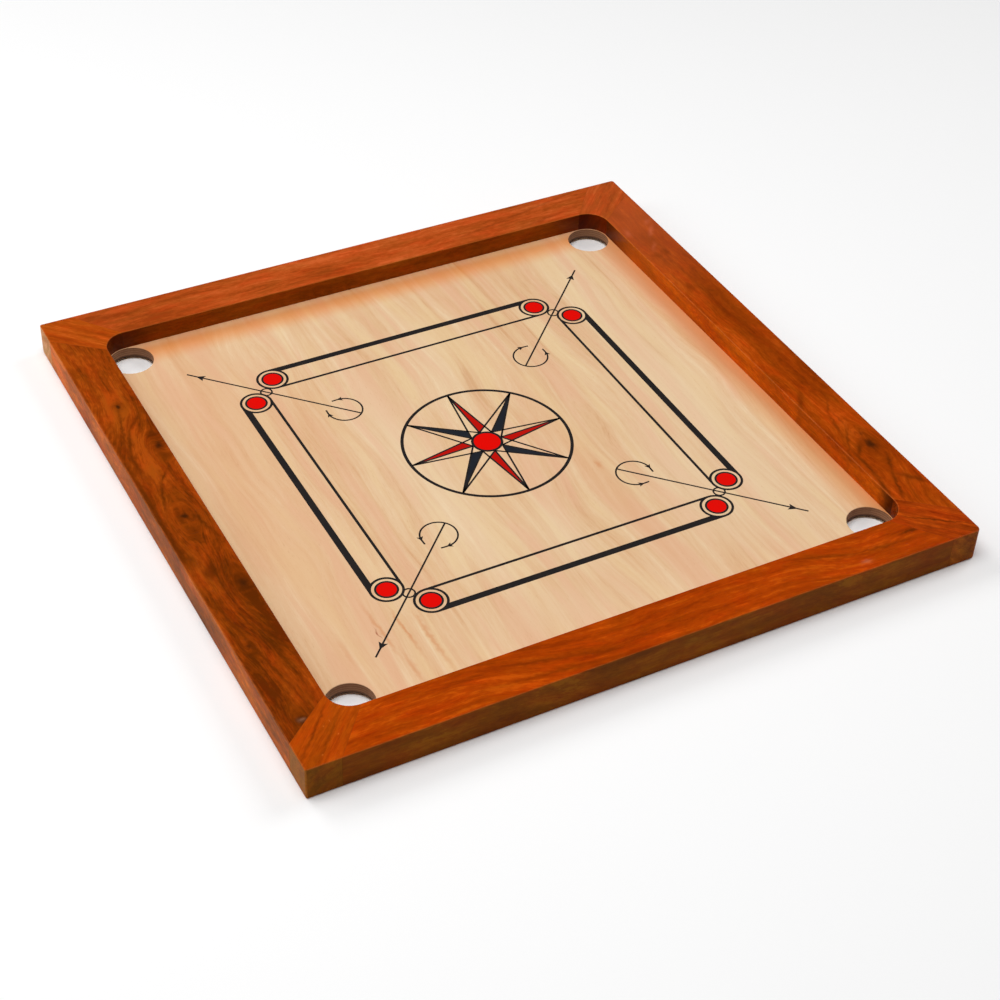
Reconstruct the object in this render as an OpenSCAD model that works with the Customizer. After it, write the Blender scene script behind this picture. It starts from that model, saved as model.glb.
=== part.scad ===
// Square hardwood-framed carrom board: four rails and four diagonal-grain corner blocks round a
// plywood playing panel with a round pocket in each corner.
// Origin at the centre of the underside, +Z up, millimetres. Front is -Y and left is -X.

/* [Frame] */
// Outer side of the square frame
board_side = 711.2; // [600:0.2:900]
// Width of a rail seen from above
rail_width = 50.8; // [44:0.2:70]
// Height of the frame
frame_height = 36; // [34:0.5:50]
// Radius of the rounded inside corners of the frame
inside_radius = 24; // [24:0.5:30]
// How far a corner block reaches along each outer side
block_reach = 34; // [30:1:44]
// Round-over along the top edges
top_ease = 1.2; // [0.8:0.1:2]
// Round-over along the outer bottom edges
bottom_ease = 2; // [1:0.1:2]
// Vertical edge radius at the front left, front right, back right and back left corners
corner_ease = [2, 6, 3.5, 2]; // [2:0.5:6]

/* [Playing panel] */
// Thickness of the plywood
panel_thickness = 12; // [9:0.5:13]
// Depth of the playing surface below the top of the frame
recess_depth = 21; // [19:0.5:22]
// How far the panel reaches under each rail
rebate_width = 12; // [9:0.5:16]
// Gap all round the panel inside its rebate
panel_gap = 0.5; // [0.3:0.1:1]
// Radius of a pocket hole
pocket_radius = 23.5; // [19:0.5:23.5]
// Chamfer round the top of a pocket hole
pocket_ease = 0.4; // [0.2:0.1:0.5]

/* [Joint dowels] */
// Diameter of a dowel
dowel_diameter = 8; // [6:1:8]
// Length of a dowel
dowel_length = 30; // [20:2:30]
// Distance of the two dowels from the outer end of a joint
dowel_places = [26, 46]; // [24:1:48]

/* [Panel screws] */
// Shank diameter of a wood screw
screw_diameter = 3.5; // [3:0.5:4]
// Length of a wood screw
screw_length = 25; // [20:1:25]
// Diameter of the countersunk head
head_diameter = 7; // [6:0.5:8]
// How many screws hold each side of the panel
screws_per_side = 4; // [3:1:6]
// Distance of the outermost screws from the end of the straight inside edge
screw_end_margin = 40; // [30:5:60]

/* [Hidden] */
$fn = 64;
half_side = board_side / 2;
half_opening = half_side - rail_width;
arc_centre = half_opening - inside_radius;
surface_z = frame_height - recess_depth;
panel_z = surface_z - panel_thickness;
rebate_line = half_opening + rebate_width;
panel_half = rebate_line - panel_gap;
// A joint runs from an end of the inside arc to the outer side of the frame
joint_inner = [arc_centre, half_opening];
joint_outer = [half_side - block_reach, half_side];
joint_angle = atan2(rail_width, joint_outer[0] - joint_inner[0]);
dowel_z = (surface_z + frame_height) / 2;
dowel_radius = dowel_diameter / 2;
dowel_end_ease = 1;
bore_clearance = 0.05;
bore_spare_depth = 0.5;
head_depth = 2.2;
head_clearance = 0.2;
screw_tip = 5;
screw_tip_radius = 0.2;
recess_slot = [4, 0.9, 1.2];
screw_line = half_opening + rebate_width / 2;
screw_reach = arc_centre - screw_end_margin;
screw_places = [for (i = [0:screws_per_side - 1]) screw_reach * (2 * i / (screws_per_side - 1) - 1)];
over = 1;
far = board_side;

// Quarter turns round the board: 0 front, 1 right, 2 back, 3 left
module turned(quarter) {
    rotate([0, 0, 90 * quarter]) children();
}

// What a round-over takes off a convex edge that lies at the origin of the drawing
module ease_profile(radius) {
    difference() {
        translate([-over, -over]) square(radius + over);
        translate([radius, radius]) circle(radius);
    }
}

// Cutter for an edge that runs along X at depth 0 and height 0
module edge_cutter(radius) {
    rotate([90, 0, 90]) linear_extrude(far, center = true) ease_profile(radius);
}

// Round-overs of the two outer edges along the front side
module front_edge_cutters() {
    translate([0, -half_side, 0]) edge_cutter(bottom_ease);
    translate([0, -half_side, frame_height]) mirror([0, 0, 1]) edge_cutter(top_ease);
}

// Cross-section of a rail: outer face at x = 0, inner face at x = rail_width
module rail_profile() {
    difference() {
        square([rail_width, frame_height]);
        translate([rail_width - rebate_width, -over]) square([rebate_width + over, surface_z + over]);
        ease_profile(bottom_ease);
        translate([0, frame_height]) mirror([0, 1]) ease_profile(top_ease);
        translate([rail_width, frame_height]) rotate(180) ease_profile(top_ease);
    }
}

// Pilot holes that the panel screws cut in the front rail
module screw_pilots() {
    for (x = screw_places) {
        translate([x, -screw_line, panel_z])
            cylinder(h = screw_length + bore_spare_depth, d = screw_diameter);
    }
}

// Places its children on one joint face of the front left corner, with +X pointing into the rail
module at_front_joint() {
    translate([-joint_outer[0], -joint_outer[1], 0]) rotate([0, 0, joint_angle - 90]) children();
}

// The two dowels of a joint, or their bores, as cylinders across the joint face
module dowel_pair(radius, length) {
    for (place = dowel_places) {
        translate([-length / 2, place, dowel_z]) rotate([0, 90, 0]) cylinder(h = length, r = radius);
    }
}

// Dowel bores of the two joints at the front left corner
module corner_bores() {
    for (flip = [0, 1]) {
        mirror([flip, -flip, 0]) at_front_joint()
            dowel_pair(dowel_radius + bore_clearance, dowel_length + 2 * bore_spare_depth);
    }
}

module rail(quarter) {
    color("#a8501c") turned(quarter) difference() {
        intersection() {
            translate([0, -half_side, 0])
                rotate([90, 0, 90]) linear_extrude(2 * joint_outer[0], center = true) rail_profile();
            linear_extrude(frame_height) polygon([
                [-joint_outer[0], -joint_outer[1]],
                [joint_outer[0], -joint_outer[1]],
                [joint_inner[0], -joint_inner[1]],
                [-joint_inner[0], -joint_inner[1]]
            ]);
        }
        screw_pilots();
        corner_bores();
        turned(1) corner_bores();
    }
}

// Plan of the front left corner block before its inside arc is cut
module block_plan() {
    polygon([
        [-half_side, -half_side],
        [-joint_outer[0], -joint_outer[1]],
        [-joint_inner[0], -joint_inner[1]],
        [-arc_centre, -arc_centre],
        [-joint_inner[1], -joint_inner[0]],
        [-joint_outer[1], -joint_outer[0]]
    ]);
}

// Quarter ring that eases a horizontal edge round the vertical outer edge
module corner_ring_cutter(radius, ease) {
    rotate_extrude(angle = 90, start = 180) translate([radius, 0]) mirror([1, 0]) ease_profile(ease);
}

// Rounds the vertical outer edge and carries both round-overs round it
module outer_corner_cutter(radius) {
    translate([radius - half_side, radius - half_side, 0]) {
        difference() {
            translate([-radius - over, -radius - over, -over])
                cube([radius + over, radius + over, frame_height + 2 * over]);
            translate([0, 0, -2 * over]) cylinder(h = frame_height + 4 * over, r = radius);
        }
        corner_ring_cutter(radius, bottom_ease);
        translate([0, 0, frame_height]) mirror([0, 0, 1]) corner_ring_cutter(radius, top_ease);
    }
}

// Round-over along the top of the inside arc
module arc_ease_cutter() {
    translate([-arc_centre, -arc_centre, frame_height])
        rotate_extrude() translate([inside_radius, 0]) rotate(-90) ease_profile(top_ease);
}

module corner_block(quarter) {
    color("#b85a20") turned(quarter) difference() {
        linear_extrude(frame_height) block_plan();
        translate([-arc_centre, -arc_centre, -over])
            cylinder(h = frame_height + 2 * over, r = inside_radius);
        translate([-rebate_line, -rebate_line, -over]) cube([rebate_line, rebate_line, surface_z + over]);
        outer_corner_cutter(corner_ease[quarter]);
        front_edge_cutters();
        mirror([1, -1, 0]) front_edge_cutters();
        arc_ease_cutter();
        corner_bores();
    }
}

// Hole of one pocket, with its eased top edge
module pocket_hole() {
    translate([0, 0, panel_z - over]) cylinder(h = panel_thickness + 2 * over, r = pocket_radius);
    translate([0, 0, surface_z - pocket_ease])
        cylinder(h = pocket_ease + over, r1 = pocket_radius, r2 = pocket_radius + pocket_ease + over);
}

// Shank hole and countersink of one screw, from the underside of the panel
module screw_clearance() {
    hole_radius = screw_diameter / 2 + head_clearance;
    mouth_radius = head_diameter / 2 + head_clearance;
    translate([0, 0, -over]) cylinder(h = panel_thickness + 2 * over, r = hole_radius);
    translate([0, 0, -over]) cylinder(h = over, r = mouth_radius);
    cylinder(h = head_depth, r1 = mouth_radius, r2 = hole_radius);
}

module playing_panel() {
    color("#e4c496") difference() {
        translate([-panel_half, -panel_half, panel_z])
            cube([2 * panel_half, 2 * panel_half, panel_thickness]);
        for (quarter = [0:3]) {
            turned(quarter) {
                translate([-arc_centre, -arc_centre, 0]) pocket_hole();
                for (x = screw_places) translate([x, -screw_line, panel_z]) screw_clearance();
            }
        }
    }
}

// One dowel lies along X, and both its ends are chamfered
module dowel(place) {
    straight = dowel_length - 2 * dowel_end_ease;
    translate([0, place, dowel_z]) rotate([0, 90, 0]) {
        cylinder(h = straight, r = dowel_radius, center = true);
        for (side = [0, 1]) {
            mirror([0, 0, side]) translate([0, 0, straight / 2])
                cylinder(h = dowel_end_ease, r1 = dowel_radius, r2 = dowel_radius - dowel_end_ease);
        }
    }
}

module joint_dowels() {
    color("#d9b98a") for (quarter = [0:3]) {
        turned(quarter) for (flip = [0, 1]) {
            mirror([flip, -flip, 0]) at_front_joint() for (place = dowel_places) dowel(place);
        }
    }
}

// Countersunk wood screw, head down, with a cross recess
module wood_screw() {
    difference() {
        rotate_extrude() polygon([
            [0, 0],
            [head_diameter / 2, 0],
            [screw_diameter / 2, head_depth],
            [screw_diameter / 2, screw_length - screw_tip],
            [screw_tip_radius, screw_length],
            [0, screw_length]
        ]);
        for (turn = [0, 90]) {
            rotate([0, 0, turn]) translate([-recess_slot[0] / 2, -recess_slot[1] / 2, -over])
                cube([recess_slot[0], recess_slot[1], recess_slot[2] + over]);
        }
    }
}

module panel_screws() {
    color("silver") for (quarter = [0:3]) {
        turned(quarter) for (x = screw_places) translate([x, -screw_line, panel_z]) wood_screw();
    }
}

rail(0);  // rail_front
rail(1);  // rail_right
rail(2);  // rail_back
rail(3);  // rail_left
corner_block(0);  // corner_block_front_left
corner_block(1);  // corner_block_front_right
corner_block(2);  // corner_block_back_right
corner_block(3);  // corner_block_back_left
playing_panel();
joint_dowels();
panel_screws();
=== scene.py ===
import math

import bmesh
import bpy
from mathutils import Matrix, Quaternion, Vector


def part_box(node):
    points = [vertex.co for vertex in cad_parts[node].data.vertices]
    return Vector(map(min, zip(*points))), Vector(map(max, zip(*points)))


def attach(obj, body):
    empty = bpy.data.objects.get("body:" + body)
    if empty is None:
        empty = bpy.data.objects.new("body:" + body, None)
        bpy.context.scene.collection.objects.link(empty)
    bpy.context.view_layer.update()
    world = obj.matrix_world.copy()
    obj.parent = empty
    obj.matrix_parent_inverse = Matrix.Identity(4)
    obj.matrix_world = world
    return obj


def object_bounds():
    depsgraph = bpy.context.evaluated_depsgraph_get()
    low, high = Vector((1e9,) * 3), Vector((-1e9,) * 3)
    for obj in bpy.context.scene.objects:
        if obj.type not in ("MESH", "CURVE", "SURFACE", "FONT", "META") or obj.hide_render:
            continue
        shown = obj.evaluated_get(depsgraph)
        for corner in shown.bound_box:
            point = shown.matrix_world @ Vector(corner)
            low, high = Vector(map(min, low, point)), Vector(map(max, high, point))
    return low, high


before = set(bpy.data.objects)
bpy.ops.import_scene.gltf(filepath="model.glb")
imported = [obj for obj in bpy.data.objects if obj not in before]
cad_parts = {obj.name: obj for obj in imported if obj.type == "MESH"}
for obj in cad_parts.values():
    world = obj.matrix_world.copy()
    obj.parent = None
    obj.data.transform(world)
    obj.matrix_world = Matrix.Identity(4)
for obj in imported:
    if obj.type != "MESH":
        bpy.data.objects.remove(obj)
cad_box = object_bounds()

# Lengths below are in millimetres in the part's own frame; MM turns them into Blender's metres.
MM = 0.001

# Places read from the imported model
HALF_SIDE = cad_box[1].x / MM
HALF_OPENING = -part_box("rail_front")[1].y / MM
ARC_CENTRE = -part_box("corner_block_front_left")[1].x / MM
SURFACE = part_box("playing_panel")[1].z / MM
PANEL_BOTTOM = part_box("playing_panel")[0].z / MM
JOINT_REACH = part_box("rail_front")[1].x / MM

# Printed markings. The print as a whole sits a little off the middle of the board. Angles are
# in degrees. Pieces that cross each other stand on layers of their own.
PRINT_CENTRE = (-0.9, -4.1)
INK_THICKNESS = 0.06
INK_BITE = 0.02
INK_LAYER = 0.015
FINE_LINE = 1.8
ARC_PIECE = 1.2
ARC_LEAST_PIECES = 24

# Base lines and circles. A circle's middle lies BASE_NEAR along its side and BASE_FAR out.
BASE_NEAR = 158.0
BASE_FAR = 189.3
BASE_STRETCH = (0.997, 1.0045)
BASE_RADIUS = 17.2
BASE_LINE = 2.6
BASE_FILL_RADIUS = 11.8
BASE_FILL_LINE = 2.2
THICK_LINE = 7.2
THIN_LINE = 3.0
LINE_END_STEPS = 8

# Corner circles, arrows and turning arcs lie on the diagonals, as far out as this in X and in Y
CORNER_CIRCLE_CENTRE = 172.0
CORNER_CIRCLE_RADIUS = 6.8
ARROW_INNER_END = 97.0
ARROW_OUTER_END = 236.0
ARROW_DART_TIP = 228.5
ARROW_DART = {"length": 9.5, "width": 9, "notch": 1.8}
TURN_CENTRE = 110.0
TURN_RADIUS = 18.6
TURN_HALF_GAP = 57.0
TURN_OVERLAP = 6
TURN_BARB_LEAD = 1
TURN_TIP_ANGLE = 41.5
TURN_TAIL_ANGLE = 25.0
TURN_TAIL_RISE = 0.8
TURN_DART = {"length": 6.4, "width": 6.6, "notch": 1.4}

# Ring, star and disc in the middle
CENTRE_SHIFT = Vector((-0.8, -1.4))
RING_RADIUS = 88.8
RING_LINE = 3.4
STAR_POINTS = 8
STAR_TIP = 86.0
STAR_NOTCH = 16.5
STAR_TURN = 1.5
STAR_LINE = 2.0
DISC_RADIUS = 16.6
DISC_LINE = 2.8


def linear(red, green, blue):
    """A display colour of 0 to 255 as the linear colour that Blender works in."""
    shares = [value / 255 for value in (red, green, blue)]
    values = [s / 12.92 if s <= 0.04045 else ((s + 0.055) / 1.055) ** 2.4 for s in shares]
    return (*values, 1.0)


# ---------------------------------------------------------------- material nodes


class Graph:
    """The nodes of one material. Any value may be a constant or another node's output."""

    def __init__(self, name):
        self.material = bpy.data.materials.new(name)
        self.material.use_nodes = True
        self.tree = self.material.node_tree
        self.tree.nodes.clear()

    def node(self, kind, values, **settings):
        made = self.tree.nodes.new("ShaderNode" + kind)
        for key, value in settings.items():
            setattr(made, key, value)
        for key, value in values.items():
            if isinstance(value, bpy.types.NodeSocket):
                self.tree.links.new(value, made.inputs[key])
            else:
                made.inputs[key].default_value = value
        return made

    def math(self, operation, first, second=0.0):
        return self.node("Math", {0: first, 1: second}, operation=operation).outputs[0]

    def total(self, *values):
        result = values[0]
        for value in values[1:]:
            result = self.math("ADD", result, value)
        return result

    def times(self, *values):
        result = values[0]
        for value in values[1:]:
            result = self.math("MULTIPLY", result, value)
        return result

    def less(self, first, second):
        return self.math("SUBTRACT", first, second)

    def size(self, value):
        return self.math("ABSOLUTE", value)

    def sway(self, noise, weight):
        """A noise as a change to either side, weight wide from its lowest to its highest."""
        return self.times(self.less(noise, 0.5), weight)

    def millimetres(self, turn=0.0):
        """The place on the object in millimetres, turned so that X runs along the grain."""
        place = self.node("TexCoord", {}).outputs["Object"]
        values = {"Vector": place, "Rotation": (0, 0, -turn), "Scale": (1 / MM,) * 3}
        return self.node("Mapping", values).outputs[0]

    def split(self, vector):
        return self.node("SeparateXYZ", {0: vector}).outputs[:3]

    def join(self, x, y, z):
        return self.node("CombineXYZ", {0: x, 1: y, 2: z}).outputs[0]

    def facing(self):
        """The three parts of the direction that the surface faces."""
        return self.split(self.node("TexCoord", {}).outputs["Normal"])

    def noise(self, coordinates, lengths, seed, detail=2.0, roughness=0.5):
        """Noise over three coordinates, whose features are that many millimetres long along each."""
        scaled = [
            self.total(self.times(value, 1 / length), seed)
            for value, length in zip(coordinates, lengths)
        ]
        values = {"Vector": self.join(*scaled), "Scale": 1.0, "Detail": detail, "Roughness": roughness}
        return self.node("TexNoise", values).outputs[0]

    def layer(self, coordinates, seed, row):
        """Noise from one of the rows that the lists of noise layers below hold."""
        lengths, shift, detail, roughness = row
        return self.noise(coordinates, lengths, seed + shift, detail, roughness)

    def step(self, value, low, high, start=0.0, end=1.0):
        """A smooth step from start to end as the value goes from low to high."""
        values = {"Value": value, "From Min": low, "From Max": high, "To Min": start, "To Max": end}
        return self.node("MapRange", values, interpolation_type="SMOOTHSTEP").outputs[0]

    def ramp(self, value, stops):
        made = self.node("ValToRGB", {"Fac": value})
        made.color_ramp.interpolation = "EASE"
        elements = made.color_ramp.elements
        while len(elements) < len(stops):
            elements.new(0.5)
        for element, (place, colour) in zip(elements, stops):
            element.position = place
            element.color = colour
        return made.outputs[0]

    def mix(self, factor, first, second, blend="MIX"):
        values = {0: factor, 6: first, 7: second}
        return self.node("Mix", values, data_type="RGBA", blend_type=blend).outputs[2]

    def bell(self, along, across, length, width):
        """1 at the middle of an ellipse, falling smoothly to nothing outside it."""
        square = self.total(
            self.math("POWER", self.times(self.size(along), 1 / length), 2.0),
            self.math("POWER", self.times(self.size(across), 1 / width), 2.0),
        )
        return self.math("EXPONENT", self.times(square, -1.0))

    def bump(self, height, depth, strength=1.0):
        values = {"Height": height, "Distance": depth * MM, "Strength": strength}
        return self.node("Bump", values).outputs[0]

    def surface(self, colour, roughness, normal, **constants):
        """Ends the material with a shader; constants set its other sockets by name."""
        values = {"Base Color": colour, "Roughness": roughness, "Normal": normal}
        for key, value in constants.items():
            values[key.replace("_", " ").title().replace("Ior", "IOR")] = value
        shader = self.node("BsdfPrincipled", values)
        output = self.node("OutputMaterial", {})
        self.tree.links.new(shader.outputs[0], output.inputs[0])
        return self.material


# ---------------------------------------------------------------- hardwood frame

# Ways the grain runs, as angles from the board's X axis
ACROSS_BOARD = 0.0
ALONG_BOARD = math.pi / 2
RISING = math.pi / 4
FALLING = -math.pi / 4

# Noise layers: lengths along the grain, across it and into the wood, then shift of the seed,
# detail and roughness
SLOW_BEND = ((210, 70, 70), 0.0, 2, 0.5)
QUICK_BEND = ((48, 26, 30), 3.7, 2, 0.5)
STREAKS = ((110, 7.5, 12), 0.0, 4, 0.5)
FIBRES = ((18, 1.1, 1.2), 1.3, 3, 0.6)
MOTTLE = ((8, 3.2, 4), 7.7, 4, 0.6)
WARMTH = ((40, 12, 20), 3.1, 3, 0.5)
WOBBLE = ((90, 20, 30), 5.1, 3, 0.5)
BLOTCHES = ((70, 24, 36), 9.4, 3, 0.5)
PORES = ((4.5, 0.42, 0.5), 2.2, 1, 0.5)

# How the layers shape the grain and the tone
QUICK_SHARE = 0.2
DEPTH_SHARE = 0.55
FIBRE_WEIGHT = 0.3
MOTTLE_WEIGHT = 0.36
TONE_PLACES = (0.35, 0.44, 0.53, 0.66)
RING_SPACING = 6.5
RING_WOBBLE = 24.0

# Values of a layer between which a tint, line or pore comes in
REDDER_WOOD = (0.48, 0.68)
GREENER_WOOD = (0.5, 0.32)
RING_CREST = (0.7, 1.0)
RINGED_WOOD = (0.62, 0.42)
PORE_HOLES = (0.64, 0.76)

# How strongly each thing covers what lies under it
TINT_COVER = 0.7
PORE_COVER = 0.4
SMOKE_COVER = 0.6
KNOT_COVER = 0.85
SEAM_COVER = 0.2
WEAR_AND_HIGHLIGHT_COVER = 0.35

# The varnish
TOP_ROUGHNESS = 0.18
SIDE_ROUGHNESS = 0.4
VARNISH_SPECULAR = 0.03
VARNISH_RELIEF = 0.1

# Knots and other listed marks, whose seeds are counted from the wood's own
BLOOM_SEED = 2.0
KNOT_SEED = 4.0
WASH_SEED = 6.0
PALE_SEED = 8.0
MARK_SHAKE = 6.0
MARK_GRIT = (7, 7, 7)
MARK_SEEDS = (0.0, 40.0)
MARK_SPREAD = 0.6
KNOT_SWIRL = 1.5
KNOT_NARROW = 0.42
KNOT_SMOKE = 2.4
MARK_TONE = linear(86, 36, 2)
KNOT_TONE = linear(50, 24, 6)
BLOOM_TONE = linear(176, 82, 42)
SEAM_TONE = linear(70, 26, 4)
# Worn round-overs, lightened further as a painted highlight along the edges
WEAR_AND_HIGHLIGHT_TONE = linear(200, 104, 48)

# Tints and painted shading, which multiply the wood's colour
RED_TINT = (1.08, 0.84, 0.8, 1.0)
OLIVE_TINT = (0.86, 1.0, 0.9, 1.0)
# Painted shade that darkens the inner walls at the rounded corners
CORNER_SHADE_FACTORS = (0.34, 0.3, 0.4, 1.0)
# Painted shade on faces towards the front and painted light on faces towards the left; the INNER rows
# are for the inner walls
FRONT_SHADING = (0.56, 1.12, 1.0, 1.0)
LEFT_SHADING = (1.8, 2.4, 1.5, 1.0)
INNER_FRONT_SHADING = (0.74, 0.97, 0.31, 1.0)
INNER_LEFT_SHADING = (1.37, 1.66, 0.4, 1.0)

# Parts of the surface's direction between which a place counts more and more as such a side
ROUND_OVER = (0.995, 0.93)
INNER_WALL = (0.6, 0.2)
OUTER_SIDE = (0.7, 0.3)
FRONT_OR_LEFT = (-0.35, -0.85)

# Distances from the walls and from the outer sides between which a place counts as on them
WALL_BAND = (6, 2)
SIDE_BAND = (3, 1)


def turned_place(x, y, turn):
    """Where a place of the board lies in coordinates whose X runs along the grain."""
    return (
        x * math.cos(turn) + y * math.sin(turn),
        y * math.cos(turn) - x * math.sin(turn),
    )


def folded(g, place):
    """The smaller and the larger of the distances from the board's two middle planes."""
    x, y, _ = g.split(place)
    size_x, size_y = g.size(x), g.size(y)
    return g.math("MINIMUM", size_x, size_y), g.math("MAXIMUM", size_x, size_y)


def joint_distance(g, place):
    """Distance from the nearest of the eight joint faces between rails and corner blocks."""
    small, large = folded(g, place)
    run = JOINT_REACH - ARC_CENTRE
    rise = HALF_SIDE - HALF_OPENING
    length = math.hypot(run, rise)
    from_line = g.less(
        g.times(g.less(small, ARC_CENTRE), rise / length),
        g.times(g.less(large, HALF_OPENING), run / length),
    )
    return g.size(from_line)


def rounded_edge(g):
    """1 on the round-overs, whose normal leans between the board's three directions."""
    sizes = [g.size(part) for part in g.facing()]
    largest = g.math("MAXIMUM", g.math("MAXIMUM", sizes[0], sizes[1]), sizes[2])
    return g.step(largest, *ROUND_OVER)


def grain_flow(g, straight, seed, bend, falls, knots):
    """The coordinate across the grain: bent by slow waves, led across the wood, pushed round knots."""
    along, across, depth = straight
    flow = g.total(
        across,
        g.sway(g.layer(straight, seed, SLOW_BEND), bend),
        g.sway(g.layer(straight, seed, QUICK_BEND), bend * QUICK_SHARE),
        g.times(depth, DEPTH_SHARE),
    )
    for start, end, shift in falls:
        flow = g.total(flow, g.step(along, start, end, 0.0, shift))
    for knot in knots:
        beside = g.less(across, knot.across)
        push = g.bell(g.less(along, knot.along), beside, knot.reach, knot.reach * KNOT_NARROW)
        flow = g.less(flow, g.times(push, beside, KNOT_SWIRL))
    return flow


def shaken(g, place, seed):
    """The place moved about by up to a millimetre or two, so that listed marks look grown."""
    x, y, z = g.split(place)
    return [
        g.total(value, g.sway(g.noise((x, y, z), MARK_GRIT, seed + shift, detail=3), MARK_SHAKE))
        for value, shift in zip((x, y), MARK_SEEDS)
    ]


def knot_parts(g, place, seed, knots):
    """Masks of the knots' dark cores and of the smoky wood round them."""
    x, y = shaken(g, place, seed)
    masks = []
    for spread in (1.0, KNOT_SMOKE):
        mask = 0.0
        for knot in knots:
            size = knot.core * spread
            spot = g.bell(g.less(y, knot.y), g.less(x, knot.x), size * knot.stretch, size)
            mask = g.math("MAXIMUM", g.times(spot, knot.strength), mask)
        masks.append(mask)
    return masks


def streak_bells(g, place, seed, marks):
    """Soft streaks. Each mark is the x and y of both its ends, its width and its strength."""
    x, y = shaken(g, place, seed)
    for x1, y1, x2, y2, width, strength in marks:
        run = Vector((x2 - x1, y2 - y1))
        ahead = run.normalized()
        dx, dy = g.less(x, (x1 + x2) / 2), g.less(y, (y1 + y2) / 2)
        along = g.total(g.times(dx, ahead.x), g.times(dy, ahead.y))
        across = g.less(g.times(dy, ahead.x), g.times(dx, ahead.y))
        yield g.times(g.bell(along, across, run.length * MARK_SPREAD, width), strength)


def marks_mask(g, place, seed, marks):
    """The strongest of the streaks at each place."""
    result = 0.0
    for spot in streak_bells(g, place, seed, marks):
        result = g.math("MAXIMUM", spot, result)
    return result


def wash(g, place, seed, marks):
    """All the streaks together, as a change of tone that may be lighter or darker."""
    return g.total(0.0, *streak_bells(g, place, seed, marks))


class Knot:
    """A knot in a rail: its place, its core's radius, how far it pushes the grain aside, how
    dark it is and how much longer than wide."""

    def __init__(self, x, y, core, reach=24.0, strength=1.0, stretch=1.3):
        self.x, self.y = x, y
        self.core, self.reach = core, reach
        self.strength, self.stretch = strength, stretch

    def turn(self, angle):
        self.along, self.across = turned_place(self.x, self.y, angle)


def painted_corner_shade(g, place, reach):
    """1 on the inner walls at the rounded corners, where painted shade darkens them.

    reach is how far it runs along the walls, in the board's front half and in its back half.
    """
    small, large = folded(g, place)
    inner = g.step(large, *[HALF_OPENING + distance for distance in WALL_BAND])
    length = g.step(g.split(place)[1], -1, 1, *reach)
    corner = g.step(g.math("DIVIDE", g.less(small, ARC_CENTRE), length), -1, 0)
    return g.times(inner, corner, g.step(g.size(g.facing()[2]), *INNER_WALL))


def outer_side(g, place):
    """1 on the four outer sides, which were sanded less finely than the top."""
    large = folded(g, place)[1]
    upright = g.step(g.size(g.facing()[2]), *OUTER_SIDE)
    return g.times(g.step(large, *[HALF_SIDE - distance for distance in SIDE_BAND]), upright)


def painted_face_shading(g, place, colour, front_stain, left_stain):
    """The colour with painted shade on faces towards the front and painted light on faces towards the
    left, with one factor for the outer sides and another for the inner walls.
    """
    x, y, _ = g.facing()
    outer = outer_side(g, place)
    front = g.mix(outer, INNER_FRONT_SHADING, front_stain)
    left = g.mix(outer, INNER_LEFT_SHADING, left_stain)
    colour = g.mix(g.step(y, *FRONT_OR_LEFT), colour, front, "MULTIPLY")
    return g.mix(g.step(x, *FRONT_OR_LEFT), colour, left, "MULTIPLY")


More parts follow.
